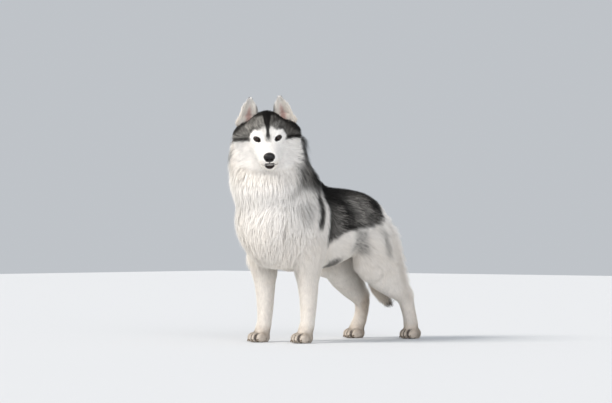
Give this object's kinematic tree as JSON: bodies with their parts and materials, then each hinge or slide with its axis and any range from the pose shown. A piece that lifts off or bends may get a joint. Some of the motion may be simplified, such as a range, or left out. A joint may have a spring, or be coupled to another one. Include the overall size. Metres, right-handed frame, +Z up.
{
  "type": "siberian husky, still life-size model",
  "caption": "Life-size standing husky dog in full winter coat with black, grey and white markings, pricked ears, and head turned to its left.",
  "frame": {"origin": "on the floor under the middle of the dog's overall box", "axes": "+Z up, the dog's body faces -Y, +X towards its left side"},
  "size_m": [0.3162, 0.8804, 0.8752],
  "materials": {
    "coat_white": "long soft coat, white to cream",
    "coat_black": "long coat, black with grey roots",
    "coat_grey": "long coat, banded grey and brown",
    "paw_tan": "short flat fur, tan",
    "nose_leather": "fine-grained, slightly moist",
    "eye": "polished, dark brown",
    "claw": "dark horn, satin"
  },
  "bodies": {
    "root": {"head": "coat_white", "muzzle": "coat_white", "lower_jaw": "coat_white", "neck": "coat_white", "chest": "coat_white", "belly": "coat_white", "right_shoulder": "coat_white", "left_forearm": "coat_white", "right_forearm": "coat_white", "left_pastern": "coat_white", "right_pastern": "coat_white", "left_lower_thigh": "coat_white", "right_lower_thigh": "coat_white", "left_hock": "coat_white", "right_hock": "coat_white", "left_ear": "coat_black", "right_ear": "coat_black", "ribs": "coat_black", "loin": "coat_black", "rump": "coat_black", "tail_tip": "coat_black", "left_shoulder": "coat_grey", "left_thigh": "coat_grey", "right_thigh": "coat_grey", "tail_base": "coat_grey", "tail_middle": "coat_grey", "tail_lower": "coat_grey", "left_front_paw": "paw_tan", "right_front_paw": "paw_tan", "left_hind_paw": "paw_tan", "right_hind_paw": "paw_tan", "nose": "nose_leather", "left_eye": "eye", "right_eye": "eye", "left_front_claw_1": "claw", "left_front_claw_2": "claw", "left_front_claw_3": "claw", "left_front_claw_4": "claw", "left_hind_claw_1": "claw", "left_hind_claw_2": "claw", "left_hind_claw_3": "claw", "left_hind_claw_4": "claw", "right_front_claw_1": "claw", "right_front_claw_2": "claw", "right_front_claw_3": "claw", "right_front_claw_4": "claw", "right_hind_claw_1": "claw", "right_hind_claw_2": "claw", "right_hind_claw_3": "claw", "right_hind_claw_4": "claw"}
  },
  "joints": []
}
